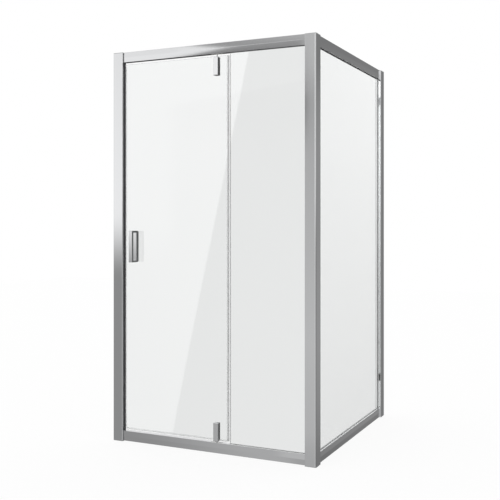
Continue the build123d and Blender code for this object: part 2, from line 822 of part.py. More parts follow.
def hinge_clamp(hinge):
    """Inner half of a hinge, with counterbores for the heads of the clamp screws."""
    face = glass_half + hinge_pad
    back = face + hinge_clamp_thickness
    half = hinge_width / 2
    core_half = hinge_core_width / 2 + hinge_core_fit
    core_face = hinge_core_thickness / 2 + hinge_core_fit
    with BuildPart(hinge.plane) as piece:
        brick((-half, face, 0), (half, back, hinge_height))
        fillet(piece.faces().sort_by(Axis.Y)[-1].edges(), hinge_edge_radius)
        low = (-core_half, face, 0)
        brick(low, (core_half, core_face, hinge_core_height + hinge_core_fit), Mode.SUBTRACT)
        hinge_holes(glass_screw_hole_radius, face, hinge_clamp_thickness, 1)
        bore = (glass_screw_head_diameter + glass_screw_fit) / 2
        hinge_holes(bore, back, glass_screw_head_height, -1)
    return piece


def hinge_core(hinge):
    """Core in the notch of the glass, bored for the pin."""
    half = hinge_core_width / 2
    deep = hinge_core_thickness / 2
    with BuildPart(hinge.plane) as piece:
        brick((-half, -deep, 0), (half, deep, hinge_core_height))
        bore = pin_diameter / 2 + pin_core_clearance
        rod(bore, pin_grip, (0, 0, 0), (0, 0, 1), Mode.SUBTRACT)
    return piece


def hinge_pads(hinge):
    """Two soft pads between the hinge and the glass, cut out round the core."""
    half = hinge_width / 2 - hinge_edge_radius
    core_half = hinge_core_width / 2 + hinge_core_fit
    with BuildPart(hinge.plane) as piece:
        for face in (-glass_half - hinge_pad, glass_half):
            low = (-half, face, hinge_core_height + hinge_core_fit)
            brick(low, (half, face + hinge_pad, hinge_height - hinge_edge_radius))
            for side in (-1, 1):
                near, far = sorted((side * core_half, side * half))
                low = (near, face, hinge_edge_radius)
                brick(low, (far, face + hinge_pad, hinge_core_height + hinge_core_fit))
            hinge_holes(glass_screw_hole_radius, face, hinge_pad, 1)
    return piece


def pivot_pin(hinge, reach):
    """Pin from the core of a hinge into its bush in the rail."""
    with BuildPart(hinge.plane) as piece:
        rod(pin_diameter / 2, pin_grip + reach, (0, 0, -reach), (0, 0, 1))
    return piece


def hinge_screws():
    """Four clamp screws of the hinges, with their heads on the inside."""
    seat = glass_half + hinge_pad + hinge_clamp_thickness - glass_screw_head_height
    length = seat + glass_half + hinge_pad + glass_screw_grip
    with BuildPart() as piece:
        for x, z in hinge_screw_places():
            socket_screw((x, glass_y + seat, z), (0, -1, 0), glass_screw, length)
    return piece


def hinge_screw_places():
    """Places of the four clamp screws of the hinges, across and up the front."""
    return [
        (pivot_x, hinge.end_z + hinge.inward * rise)
        for hinge in hinges.values()
        for rise in hinge_screw_heights
    ]


def glass_sleeves():
    """Six sleeves in the holes of the door glass, round the screws."""
    outer = glass_hole_radius - glass_screw_fit / 2
    starts = [
        (x, glass_y - glass_half, z)
        for x, z in hinge_screw_places() + [(handle_x, z) for z in handle_screw_heights]
    ]
    with BuildPart() as piece:
        for start in starts:
            rod(outer, glass_thickness, start, (0, 1, 0))
            rod(glass_screw_hole_radius, glass_thickness, start, (0, 1, 0), Mode.SUBTRACT)
    return piece


def handle_loop():
    """Rectangular loop handle that stands on the outer face of the door."""
    back = glass_y - glass_half - handle_pad
    middle = (back - handle_depth / 2, handle_mid_height)
    with BuildPart() as piece:
        with BuildSketch(Plane.YZ.offset(handle_x - handle_width / 2)) as outline:
            with Locations(middle):
                RectangleRounded(handle_depth, handle_height, handle_corner_radius)
                window_width = handle_depth - 2 * handle_bar
                window_height = handle_height - 2 * handle_end_bar
                RectangleRounded(
                    window_width, window_height, handle_corner_radius, mode=Mode.SUBTRACT
                )
        extrude(amount=handle_width)
        sides = piece.faces().filter_by(Axis.X)
        chamfer(sides[0].edges() + sides[-1].edges(), handle_edge_radius)
        for z in handle_screw_heights:
            start = (handle_x, back, z)
            rod(glass_screw_hole_radius, glass_screw_grip, start, (0, -1, 0), Mode.SUBTRACT)
    return piece


def handle_plate_outline(start_y, plate_width, plate_height):
    """Outline of a plate behind the handle, drawn from its outer face inwards."""
    with BuildSketch(Plane.XZ.offset(-start_y)) as outline:
        with Locations((handle_x, handle_mid_height)):
            RectangleRounded(plate_width, plate_height, handle_plate_corner)
            with GridLocations(0, handle_screw_spacing, 1, 2):
                Circle(glass_screw_hole_radius, mode=Mode.SUBTRACT)
    return outline.sketch


def handle_pads():
    """Two soft pads between the glass and the metal of the handle."""
    front = glass_y - glass_half
    back = glass_y + glass_half + handle_pad
    inset = handle_width - 2 * handle_edge_radius
    with BuildPart() as piece:
        extrude(
            handle_plate_outline(front, inset, handle_height - 2 * handle_corner_radius),
            amount=handle_pad,
        )
        extrude(
            handle_plate_outline(back, handle_plate_width, handle_plate_height),
            amount=handle_pad,
        )
    return piece


def handle_plate():
    """Slim plate on the inner face of the door, under the heads of the handle screws."""
    back = glass_y + glass_half + handle_pad + handle_plate_thickness
    with BuildPart() as piece:
        extrude(
            handle_plate_outline(back, handle_plate_width, handle_plate_height),
            amount=handle_plate_thickness,
        )
        bore = (glass_screw_head_diameter + glass_screw_fit) / 2
        for z in handle_screw_heights:
            rod(bore, handle_plate_recess, (handle_x, back, z), (0, -1, 0), Mode.SUBTRACT)
    return piece


def handle_screws():
    """Two screws from the inner plate through the glass into the handle."""
    seat = glass_half + handle_pad + handle_plate_thickness - handle_plate_recess
    length = seat + glass_half + handle_pad + glass_screw_grip
    with BuildPart() as piece:
        for z in handle_screw_heights:
            socket_screw((handle_x, glass_y + seat, z), (0, -1, 0), glass_screw, length)
    return piece


os.makedirs("parts", exist_ok=True)

for side, jamb in jambs.items():
    save(wall_channel(jamb), f"{side}_wall_channel")
    save(jamb_profile(jamb), f"{side}_jamb")
    save(jamb_caps(jamb), f"{side}_jamb_caps")
save(jamb_screws(), "jamb_fixing_screws")
save(jamb_screw_caps(), "jamb_screw_caps")

save(corner_post(), "corner_post")
save(post_cap(0, 1), "corner_post_top_cap")
save(post_cap(height - cap_thickness, -1), "corner_post_foot")

for name, rail in rails.items():
    save(rail_profile(rail, name.startswith("front")), f"{name}_rail")
    near = fixed_edge_from_corner - post_size if name.startswith("front") else rail.length
    save(rail_gasket(rail, 0, near), f"{name}_gasket")
save(rail_brackets(), "rail_end_brackets")
save(rail_anchor_screws(), "rail_anchor_screws")
save(rail_clamp_screws(), "rail_clamp_screws")

save(pane(front_inner_face, front_pane_span, pane_low, pane_high), "fixed_front_glass")
save(pane(side_inner_face, side_pane_span, pane_low, pane_high), "side_glass")
save(upright_gasket(post_front_slot), "post_front_gasket")
save(upright_gasket(post_side_slot), "post_side_gasket")
save(upright_gasket(rear_jamb_slot), "rear_jamb_gasket")

for end in ("bottom", "top"):
    rail = rails[f"front_{end}"]
    save(rail_infills(rail), f"{end}_rail_infills")
    save(pivot_block(rail), f"{end}_pivot_block")
    save(pivot_bush(rail, end == "bottom"), f"{end}_pivot_bush")
save(pivot_block_screws(), "pivot_block_screws")
save(magnet_insert(), "jamb_magnet_holder")
save(jamb_magnet(), "jamb_magnet_strip")

save(door_glass(), "door_glass")
save(magnet_seal(), "door_magnet_seal")
save(door_magnet(), "door_magnet_strip")
save(pivot_edge_seal(), "door_pivot_edge_seal")
save(door_sweep(), "door_bottom_seal")
for end, hinge in hinges.items():
    gap = abs(hinge.end_z - (bottom_rail_top if end == "bottom" else top_rail_bottom))
    save(hinge_cover(hinge), f"{end}_hinge_cover")
    save(hinge_clamp(hinge), f"{end}_hinge_clamp")
    save(hinge_core(hinge), f"{end}_hinge_core")
    save(hinge_pads(hinge), f"{end}_hinge_pads")
    save(pivot_pin(hinge, gap + pin_bush_depth), f"{end}_pivot_pin")
save(hinge_screws(), "hinge_clamp_screws")
save(glass_sleeves(), "door_glass_sleeves")
save(handle_loop(), "handle_loop")
save(handle_pads(), "handle_pads")
save(handle_plate(), "handle_inner_plate")
save(handle_screws(), "handle_screws")
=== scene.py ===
"""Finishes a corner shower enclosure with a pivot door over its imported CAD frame."""
import math
from collections import namedtuple

import bpy
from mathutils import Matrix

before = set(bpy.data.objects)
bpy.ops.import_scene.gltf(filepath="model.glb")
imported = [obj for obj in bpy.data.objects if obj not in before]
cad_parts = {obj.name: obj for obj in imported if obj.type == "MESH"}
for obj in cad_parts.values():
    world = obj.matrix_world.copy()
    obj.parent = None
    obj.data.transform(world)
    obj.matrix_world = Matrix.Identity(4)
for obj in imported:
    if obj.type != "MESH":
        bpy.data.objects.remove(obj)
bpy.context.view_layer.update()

bl_info = {
    "name": "Shower Enclosure Finisher",
    "version": (1, 0, 0),
    "blender": (4, 5, 0),
    "location": "View3D > Sidebar > Shower",
    "description": "Finishes the profiles, glass, seals and fittings of a shower enclosure",
    "category": "Object",
}

# Noise scales per metre: across a drawn profile, along it, and for the grain of soft seals
LINES_ACROSS = 900.0
LINES_ALONG = 1.5
SOFT_GRAIN = 700.0
# How much the roughness of a moulded piece varies in all
GRAIN_VARIATION = 0.06
BEVEL_SAMPLES = 8
SENSOR_WIDTH = 36.0

# CAD nodes that share a finish. Profiles are parted by the direction that they were drawn
# in, and panes by the way that they face.
UPRIGHTS = ("left_jamb", "rear_jamb", "corner_post", "left_wall_channel", "rear_wall_channel")
FRONT_RAILS = ("front_bottom_rail", "front_top_rail", "bottom_rail_infills", "top_rail_infills")
SIDE_RAILS = ("side_bottom_rail", "side_top_rail")
FRONT_PANES = ("door_glass", "fixed_front_glass")
SIDE_PANES = ("side_glass",)
SEALS = (
    "front_top_gasket", "side_top_gasket", "jamb_magnet_holder", "door_magnet_seal",
    "door_bottom_seal", "handle_pads", "bottom_hinge_pads", "top_hinge_pads",
)
GASKETS = (
    "front_bottom_gasket", "side_bottom_gasket", "post_front_gasket", "post_side_gasket",
    "rear_jamb_gasket",
)
FROSTED_SEALS = ("door_pivot_edge_seal",)
MAGNETS = ("jamb_magnet_strip", "door_magnet_strip")
CAPS = (
    "left_jamb_caps", "rear_jamb_caps", "corner_post_top_cap", "corner_post_foot",
    "jamb_screw_caps",
)
HINGE_SHELLS = (
    "bottom_hinge_cover", "bottom_hinge_clamp", "top_hinge_cover", "top_hinge_clamp",
)
HANDLE = ("handle_loop", "handle_inner_plate")
FASTENERS = (
    "jamb_fixing_screws", "rail_anchor_screws", "rail_clamp_screws", "pivot_block_screws",
    "hinge_clamp_screws", "handle_screws", "bottom_pivot_pin", "top_pivot_pin",
    "bottom_hinge_core", "top_hinge_core",
)
BEARINGS = (
    "bottom_pivot_block", "top_pivot_block", "bottom_pivot_bush", "top_pivot_bush",
    "rail_end_brackets", "door_glass_sleeves",
)

# Studio that is seen only in reflections. Turn is in degrees to the left of straight ahead
# of the front, and rise in degrees over the horizon. The front and the back of the room
# each have a list of rises and their shades, and the back fades in over two turns. A panel
# starts, is full, begins to end and ends at four edges each way, and its shade goes from low
# to high between the two inner rises. A slant holds a lean and two more edges, at which
# turn plus lean times rise starts the panel and makes it full.
Panel = namedtuple("Panel", "name turn rise low high slant", defaults=(None,))
NADIR = -90.0
ZENITH = 90.0
BACK_START = 80.0
BACK_FULL = 100.0
# A ray depth over this has had one bounce or more
FIRST_BOUNCE = 0.5
FRONT_SHADES = (
    (-90.0, 0.40), (-21.0, 0.42), (-17.0, 0.46), (-15.5, 0.53), (-9.0, 0.58), (0.0, 0.53),
    (5.0, 0.49), (8.8, 0.44), (11.5, 0.55), (20.0, 0.60),
)
BACK_SHADES = (
    (-90.0, 0.20), (-19.0, 0.19), (-17.0, 0.21), (-15.5, 0.25), (-13.0, 0.29), (-9.0, 0.325),
    (-5.0, 0.32), (0.0, 0.30), (5.0, 0.305), (8.8, 0.27), (11.5, 0.22), (20.0, 0.22),
)
METAL_PANELS = (
    Panel("rail flag", (22.6, 23.4, 75.0, 80.0), (4.5, 8.7, 9.6, 15.7), 0.25, 0.36),
    Panel(
        "high strip", (23.1, 23.5, 60.0, 70.0), (7.0, 7.5, 15.76, 15.86), 0.97, 0.95,
        slant=(5.05, 74.55, 74.95),
    ),
    Panel("top flag", (22.6, 23.4, 60.0, 70.0), (15.76, 15.86, 17.1, 60.0), 0.34, 0.50),
    Panel("low middle", (23.9, 25.2, 60.0, 70.0), (-40.0, -30.0, -12.0, -8.0), 0.47, 0.47),
    Panel("low left", (26.0, 36.5, 75.0, 80.0), (-60.0, -50.0, 1.0, 3.0), 0.31, 0.31),
    Panel("left wall", (32.4, 33.4, 75.0, 80.0), (-4.3, 0.6, 15.76, 15.86), 1.0, 0.90),
    Panel("front box", (13.5, 15.5, 19.4, 20.4), (-50.0, -9.0, 8.0, 40.0), 1.2, 2.4),
    Panel("middle box", (-24.0, -14.0, 6.0, 12.0), (-4.0, 4.0, 30.0, 50.0), 1.0, 1.0),
    Panel("right box", (-105.0, -95.0, -56.0, -48.0), (-4.0, 4.0, 30.0, 50.0), 1.0, 1.0),
    Panel("camera side", (-46.0, -41.0, -29.0, -24.0), (-50.0, -12.0, 12.0, 50.0), 0.13, 0.06),
    Panel("rear flag", (-179.0, -178.0, -162.2, -161.2), (-40.0, -30.0, 30.0, 40.0), 0.22, 0.235),
    Panel("dark side", (-153.5, -151.5, -144.3, -143.9), (-25.0, -18.0, 13.0, 25.0), 0.20, 0.09),
    Panel("dark corner", (-144.3, -143.9, -110.0, -100.0), (-60.0, -50.0, 50.0, 60.0), 0.07, 0.06),
    Panel("floor flag", (120.0, 130.0, 178.0, 179.0), (-50.0, -40.0, -5.0, -2.0), 0.03, 0.03),
    Panel("ceiling", (120.0, 130.0, 178.0, 179.0), (2.0, 6.0, 40.0, 50.0), 0.90, 0.90),
)
PANE_SHADE = 0.2
PANE_PANELS = (
    Panel(
        "front card", (20.0, 21.0, 60.0, 70.0), (-50.0, -30.0, 30.0, 50.0), 1.9, 3.0,
        slant=(0.2025, 29.64, 29.84),
    ),
    Panel("side card", (-179.0, -178.0, -130.0, -110.0), (-50.0, -30.0, 30.0, 50.0), 0.9, 2.1),
)


def colour(name, description, default):
    """Colour property with a plain name."""
    return bpy.props.FloatVectorProperty(
        name=name, description=description, default=default,
        subtype="COLOR", size=3, min=0.0, max=1.0,
    )


def factor(name, description, default, top=1.0):
    """Number property from nought to a top value."""
    return bpy.props.FloatProperty(
        name=name, description=description, default=default, min=0.0, max=top,
    )


def length(name, description, default):
    """Length property in metres."""
    return bpy.props.FloatProperty(
        name=name, description=description, default=default, unit="LENGTH", precision=4,
    )


class ShowerMetal(bpy.types.PropertyGroup):
    """Finishes of the profiles, fittings and fasteners."""

    profile_colour: colour("Profile", "Polished aluminium profiles", (0.80, 0.805, 0.815))
    profile_roughness: factor("Profile roughness", "Blur of the profiles' reflections", 0.035)
    draw_lines: factor("Draw lines", "Depth of the fine lines along a profile", 0.003)
    edge_round: length("Edge rounding", "Soft radius along the profiles' edges", 0.001)
    fitting_colour: colour("Fittings", "Chrome of the hinges and the handle", (0.86, 0.865, 0.875))
    fitting_roughness: factor("Fitting roughness", "Blur of the chrome's reflections", 0.05)
    fastener_colour: colour("Fasteners", "Stainless screws and pins", (0.66, 0.66, 0.67))
    fastener_roughness: factor("Fastener roughness", "Blur of the screws' reflections", 0.3)


class ShowerGlass(bpy.types.PropertyGroup):
    """Look of the panes."""

    tint: colour("Tint", "What the glass lets through", (0.812, 0.824, 0.820))
    density: factor("Density", "How strongly the glass takes up light", 150.0, 1000.0)
    water_marks: factor("Water marks", "How much light the faint dried marks take up", 0.012)
    waviness: factor("Waviness", "Depth of the faint waves of float glass", 0.02)
    edge_roughness: factor("Edge roughness", "Frosting of the ground edges", 0.6)


class ShowerTrim(bpy.types.PropertyGroup):
    """Finishes of the soft and moulded pieces."""

    seal_colour: colour("Seals", "Clear soft seals, pads and top gaskets", (0.88, 0.885, 0.885))
    seal_clearness: factor("Seal clearness", "How much light a seal lets through", 0.92)
    gasket_colour: colour("Gaskets", "Gaskets under and beside the panes", (0.92, 0.925, 0.925))
    gasket_clearness: factor("Gasket clearness", "How much light a gasket lets through", 0.15)
    frosted_colour: colour("Frosted seal", "Seal beside the fixed pane", (0.52, 0.525, 0.53))
    frosted_clearness: factor(
        "Frosted clearness", "How much light the frosted seal lets through", 0.88
    )
    magnet_colour: colour("Magnets", "Magnetic strips at the closing edge", (0.045, 0.045, 0.05))
    cap_colour: colour("Caps", "Moulded caps on the profile ends", (0.42, 0.425, 0.43))
    bearing_colour: colour("Bearings", "White nylon blocks and bushes", (0.78, 0.78, 0.76))


class ShowerStage(bpy.types.PropertyGroup):
    """Camera and floor."""

    camera_place: bpy.props.FloatVectorProperty(
        name="Camera", description="Place of the camera", default=(1.81294, -3.59261, 1.08524),
        size=3, subtype="TRANSLATION", unit="LENGTH", precision=5,
    )
    camera_turn: bpy.props.FloatProperty(
        name="Camera turn", description="Turn of the camera to the left of straight on",
        default=0.40961, subtype="ANGLE", unit="ROTATION",
    )
    lens: bpy.props.FloatProperty(
        name="Lens", description="Focal length in millimetres", default=55.563,
    )
    shift_across: bpy.props.FloatProperty(
        name="Shift across", description="Sideways shift of the frame", default=-0.10,
    )
    shift_up: bpy.props.FloatProperty(
        name="Shift up", description="Upward shift of the frame", default=-0.0617,
    )
    floor_half: length("Floor", "Half the side of the floor", 8.0)
    floor_colour: colour("Floor", "Pale floor", (0.97, 0.97, 0.97))
    floor_whiteness: factor("Floor whiteness", "How far the floor fades to white", 0.9)


def new_group(name, inputs, outputs):
    """Shader node group with its sockets, and its two end nodes."""
    group = bpy.data.node_groups.new(name, "ShaderNodeTree")
    for label, kind, default in inputs:
        socket = group.interface.new_socket(label, in_out="INPUT", socket_type=kind)
        socket.default_value = default
    for label, kind in outputs:
        group.interface.new_socket(label, in_out="OUTPUT", socket_type=kind)
    entry = group.nodes.new("NodeGroupInput")
    leave = group.nodes.new("NodeGroupOutput")
    return group, entry, leave


def feed(tree, socket, value):
    """Sets a socket to a number, or links it to another socket."""
    if isinstance(value, (int, float)):
        socket.default_value = value
    else:
        tree.links.new(value, socket)


def noise(tree, vector, scale, detail):
    """Noise texture on a vector, at a scale that is a socket or a number."""
    texture = tree.nodes.new("ShaderNodeTexNoise")
    texture.inputs["Detail"].default_value = detail
    tree.links.new(vector, texture.inputs["Vector"])
    feed(tree, texture.inputs["Scale"], scale)
    return texture.outputs["Fac"]


def spread(tree, value, low, high, to_low=0.0, to_high=1.0):
    """Value remapped smoothly from one range to another."""
    remap = tree.nodes.new("ShaderNodeMapRange")
    remap.interpolation_type = "SMOOTHSTEP"
    for socket, number in zip(
        ("From Min", "From Max", "To Min", "To Max"), (low, high, to_low, to_high)
    ):
        remap.inputs[socket].default_value = number
    tree.links.new(value, remap.inputs["Value"])
    return remap.outputs["Result"]


def combine(tree, kind, *values):
    """Math node on values, each a socket or a number."""
    node = tree.nodes.new("ShaderNodeMath")
    node.operation = kind
    for socket, value in zip(node.inputs, values):
        feed(tree, socket, value)
    return node.outputs["Value"]


def mix(tree, share, first, second):
    """Value between two others, each a socket or a number."""
    node = tree.nodes.new("ShaderNodeMix")
    tree.links.new(share, node.inputs["Factor"])
    feed(tree, node.inputs["A"], first)
    feed(tree, node.inputs["B"], second)
    return node.outputs["Result"]


def draw_line_group():
    """Fine lines that the die leaves along a drawn profile."""
    group, entry, leave = new_group(
        "Draw Lines",
        [
            ("Stretch", "NodeSocketVector", (LINES_ACROSS, LINES_ACROSS, LINES_ALONG)),
            ("Base Roughness", "NodeSocketFloat", 0.035),
            ("Variation", "NodeSocketFloat", 0.01),
        ],
        [("Roughness", "NodeSocketFloat"), ("Height", "NodeSocketFloat")],
    )
    place = group.nodes.new("ShaderNodeTexCoord").outputs["Object"]
    stretched = group.nodes.new("ShaderNodeVectorMath")
    stretched.operation = "MULTIPLY"
    group.links.new(place, stretched.inputs[0])
    group.links.new(entry.outputs["Stretch"], stretched.inputs[1])
    lines = noise(group, stretched.outputs["Vector"], scale=1.0, detail=3.0)
    clouds = noise(group, place, scale=7.0, detail=3.0)
    mixed = combine(group, "ADD", lines, clouds)
    centred = combine(group, "SUBTRACT", mixed, 1.0)
    varied = combine(group, "MULTIPLY", centred, entry.outputs["Variation"])
    rough = combine(group, "ADD", varied, entry.outputs["Base Roughness"])
    group.links.new(rough, leave.inputs["Roughness"])
    group.links.new(lines, leave.inputs["Height"])
    return group


def touch_mark_group():
    """Faint clouded marks of handling and dried water."""
    group, entry, leave = new_group(
        "Touch Marks",
        [
            ("Scale", "NodeSocketFloat", 26.0),
            ("Base Roughness", "NodeSocketFloat", 0.05),
            ("Amount", "NodeSocketFloat", 0.08),
        ],
        [("Roughness", "NodeSocketFloat"), ("Height", "NodeSocketFloat")],
    )
    place = group.nodes.new("ShaderNodeTexCoord").outputs["Object"]
    broad = noise(group, place, entry.outputs["Scale"], detail=5.0)
    patches = spread(group, broad, low=0.45, high=0.75)
    fine = noise(group, place, scale=420.0, detail=2.0)
    speckled = combine(group, "MULTIPLY", patches, fine)
    varied = combine(group, "MULTIPLY", speckled, entry.outputs["Amount"])
    rough = combine(group, "ADD", varied, entry.outputs["Base Roughness"])
    group.links.new(rough, leave.inputs["Roughness"])
    group.links.new(fine, leave.inputs["Height"])
    return group


def pane_group():
    """Faint marks of dried water on a pane, its broad waves and its ground edges."""
    group, entry, leave = new_group(
        "Pane",
        [
            ("Scale", "NodeSocketFloat", 3.5),
            ("Amount", "NodeSocketFloat", 0.012),
            ("Across", "NodeSocketVector", (0.0, 1.0, 0.0)),
            ("Edge Roughness", "NodeSocketFloat", 0.6),
        ],
        [
            ("Colour", "NodeSocketColor"),
            ("Roughness", "NodeSocketFloat"),
            ("Height", "NodeSocketFloat"),
        ],
    )
    coordinates = group.nodes.new("ShaderNodeTexCoord")
    facing = group.nodes.new("ShaderNodeVectorMath")
    facing.operation = "DOT_PRODUCT"
    group.links.new(coordinates.outputs["Normal"], facing.inputs[0])
    group.links.new(entry.outputs["Across"], facing.inputs[1])
    broadside = combine(group, "ABSOLUTE", facing.outputs["Value"])
    edge = spread(group, broadside, low=0.6, high=0.9, to_low=1.0, to_high=0.0)
    ground = combine(group, "MULTIPLY", edge, entry.outputs["Edge Roughness"])
    place = coordinates.outputs["Object"]
    broad = noise(group, place, entry.outputs["Scale"], detail=5.0)
    patches = spread(group, broad, low=0.5, high=0.8)
    drops = noise(group, place, scale=260.0, detail=2.0)
    speckled = combine(group, "MULTIPLY", patches, drops)
    taken = combine(group, "MULTIPLY", speckled, entry.outputs["Amount"])
    kept = combine(group, "SUBTRACT", 1.0, taken)
    shade = group.nodes.new("ShaderNodeCombineColor")
    for socket in shade.inputs:
        group.links.new(kept, socket)
    waves = noise(group, place, scale=2.0, detail=1.0)
    group.links.new(shade.outputs["Color"], leave.inputs["Colour"])
    group.links.new(ground, leave.inputs["Roughness"])
    group.links.new(waves, leave.inputs["Height"])
    return group


def moulded_grain_group():
    """Fine grain and slight shade changes of moulded plastic."""
    group, entry, leave = new_group(
        "Moulded Grain",
        [
            ("Colour", "NodeSocketColor", (0.5, 0.5, 0.5, 1.0)),
            ("Grain Scale", "NodeSocketFloat", 900.0),
            ("Base Roughness", "NodeSocketFloat", 0.4),
        ],
        [
            ("Colour", "NodeSocketColor"),
            ("Roughness", "NodeSocketFloat"),
            ("Height", "NodeSocketFloat"),
        ],
    )
    place = group.nodes.new("ShaderNodeTexCoord").outputs["Object"]
    grain = noise(group, place, entry.outputs["Grain Scale"], detail=2.0)
    clouds = noise(group, place, scale=14.0, detail=3.0)
    shade = spread(group, clouds, low=0.3, high=0.7, to_low=0.94, to_high=1.04)
    shaded = group.nodes.new("ShaderNodeVectorMath")
    shaded.operation = "SCALE"
    group.links.new(entry.outputs["Colour"], shaded.inputs[0])
    group.links.new(shade, shaded.inputs["Scale"])
    least = combine(group, "ADD", entry.outputs["Base Roughness"], -GRAIN_VARIATION / 2)
    rough = combine(group, "MULTIPLY_ADD", clouds, GRAIN_VARIATION, least)
    group.links.new(shaded.outputs["Vector"], leave.inputs["Colour"])
    group.links.new(rough, leave.inputs["Roughness"])
    group.links.new(grain, leave.inputs["Height"])
    return group


def shared_group(name, build):
    """The named node group, built the first time it is asked for."""
    return bpy.data.node_groups.get(name) or build()


def new_material(name, constants):
    """Material with one Principled shader, and numbers set on the shader's own sockets."""
    material = bpy.data.materials.new(name)
    material.use_nodes = True
    shader = material.node_tree.nodes["Principled BSDF"]
    for socket, value in constants.items():
        shader.inputs[socket].default_value = value
    return material, material.node_tree, shader


def opaque(rgb):
    """Colour with full alpha, for a shader's socket."""
    return (*rgb, 1.0)


def place_group(tree, group, values):
    """Node of a shared group, with this material's own values."""
    node = tree.nodes.new("ShaderNodeGroup")
    node.node_tree = group
    for socket, value in values.items():
        node.inputs[socket].default_value = value
    return node


def add_bump(tree, shader, height, strength, distance, edge_round=0.0):
    """Bump from a height, over normals that may be rounded along the edges."""
    bump = tree.nodes.new("ShaderNodeBump")
    bump.inputs["Strength"].default_value = strength
    bump.inputs["Distance"].default_value = distance
    tree.links.new(height, bump.inputs["Height"])
    if edge_round:
        rounded = tree.nodes.new("ShaderNodeBevel")
        rounded.samples = BEVEL_SAMPLES
        rounded.inputs["Radius"].default_value = edge_round
        tree.links.new(rounded.outputs["Normal"], bump.inputs["Normal"])
    tree.links.new(bump.outputs["Normal"], shader.inputs["Normal"])


def profile_material(name, axis):
    """Polished aluminium with draw lines along one axis."""
    look = bpy.context.scene.shower_metal
    material, tree, shader = new_material(
        name, {"Base Color": opaque(look.profile_colour), "Metallic": 1.0}
    )
    stretch = [LINES_ALONG if letter == axis else LINES_ACROSS for letter in "XYZ"]
    lines = place_group(
        tree, shared_group("Draw Lines", draw_line_group),
        {"Stretch": stretch, "Base Roughness": look.profile_roughness, "Variation": 0.01},
    )
    tree.links.new(lines.outputs["Roughness"], shader.inputs["Roughness"])
    add_bump(
        tree, shader, lines.outputs["Height"],
        strength=look.draw_lines, distance=0.0002, edge_round=look.edge_round,
    )
    return material


def marked_metal(name, rgb, roughness, marks, edge_round):
    """Bright metal with faint marks of handling."""
    material, tree, shader = new_material(
        name, {"Base Color": opaque(rgb), "Metallic": 1.0}
    )
    touch = place_group(
        tree, shared_group("Touch Marks", touch_mark_group),
        {"Scale": 26.0, "Base Roughness": roughness, "Amount": marks},
    )
    tree.links.new(touch.outputs["Roughness"], shader.inputs["Roughness"])
    add_bump(
        tree, shader, touch.outputs["Height"],
        strength=0.02, distance=0.0001, edge_round=edge_round,
    )
    return material


def glass_material(name, across):
    """Clear toughened glass with a faint tint and ground edges, for a pane facing one way."""
    look = bpy.context.scene.shower_glass
    material, tree, shader = new_material(
        name, {"Metallic": 0.0, "IOR": 1.5, "Transmission Weight": 1.0}
    )
    marks = place_group(
        tree, shared_group("Pane", pane_group),
        {
            "Scale": 3.5,
            "Amount": look.water_marks,
            "Across": across,
            "Edge Roughness": look.edge_roughness,
        },
    )
    tree.links.new(marks.outputs["Colour"], shader.inputs["Base Color"])
    tree.links.new(marks.outputs["Roughness"], shader.inputs["Roughness"])
    add_bump(tree, shader, marks.outputs["Height"], strength=look.waviness, distance=0.0005)
    absorb = tree.nodes.new("ShaderNodeVolumeAbsorption")
    absorb.inputs["Color"].default_value = opaque(look.tint)
    absorb.inputs["Density"].default_value = look.density
    tree.links.new(absorb.outputs["Volume"], tree.nodes["Material Output"].inputs["Volume"])
    return material


def moulded_material(name, rgb, roughness, grain_scale, extra):
    """Moulded plastic or rubber with a fine grain."""
    material, tree, shader = new_material(name, extra)
    grain = place_group(
        tree, shared_group("Moulded Grain", moulded_grain_group),
        {"Colour": opaque(rgb), "Grain Scale": grain_scale, "Base Roughness": roughness},
    )
    tree.links.new(grain.outputs["Colour"], shader.inputs["Base Color"])
    tree.links.new(grain.outputs["Roughness"], shader.inputs["Roughness"])
    add_bump(tree, shader, grain.outputs["Height"], strength=0.08, distance=0.0001)
    return material


def finish(nodes, material):
    """Gives a material to CAD nodes."""
    for name in nodes:
        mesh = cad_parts[name].data
        if not mesh.materials:
            mesh.materials.append(material)
        for index in range(len(mesh.materials)):
            mesh.materials[index] = material


class SHOWER_OT_finish_uprights(bpy.types.Operator):
    """Finish the jambs, their wall channels and the corner post"""

    bl_idname = "shower.finish_uprights"
    bl_label = "Uprights"

    def execute(self, context):
        finish(UPRIGHTS, profile_material("polished upright", "Z"))
        return {"FINISHED"}


class SHOWER_OT_finish_rails(bpy.types.Operator):
    """Finish the rails and the covers over their slots"""

    bl_idname = "shower.finish_rails"
    bl_label = "Rails"

    def execute(self, context):
        finish(FRONT_RAILS, profile_material("polished front rail", "X"))
        finish(SIDE_RAILS, profile_material("polished side rail", "Y"))
        return {"FINISHED"}


class SHOWER_OT_finish_panes(bpy.types.Operator):
    """Finish the door pane and the fixed panes"""

    bl_idname = "shower.finish_panes"
    bl_label = "Glass panes"

    def execute(self, context):
        finish(FRONT_PANES, glass_material("clear front glass", (0.0, 1.0, 0.0)))
        finish(SIDE_PANES, glass_material("clear side glass", (1.0, 0.0, 0.0)))
        return {"FINISHED"}


class SHOWER_OT_finish_seals(bpy.types.Operator):
    """Finish the gaskets, seals, pads and magnetic strips"""

    bl_idname = "shower.finish_seals"
    bl_label = "Seals and magnets"

    def execute(self, context):
        look = context.scene.shower_trim
        for nodes, name, rgb, roughness, clearness in (
            (SEALS, "clear seal", look.seal_colour, 0.25, look.seal_clearness),
            (GASKETS, "pale gasket", look.gasket_colour, 0.3, look.gasket_clearness),
            (FROSTED_SEALS, "frosted seal", look.frosted_colour, 0.35, look.frosted_clearness),
        ):
            extra = {"Alpha": 1.0 - clearness}
            finish(nodes, moulded_material(name, rgb, roughness, SOFT_GRAIN, extra))
        magnet = moulded_material(
            "magnetic strip", look.magnet_colour, roughness=0.5, grain_scale=1200.0, extra={}
        )
        finish(MAGNETS, magnet)
        return {"FINISHED"}


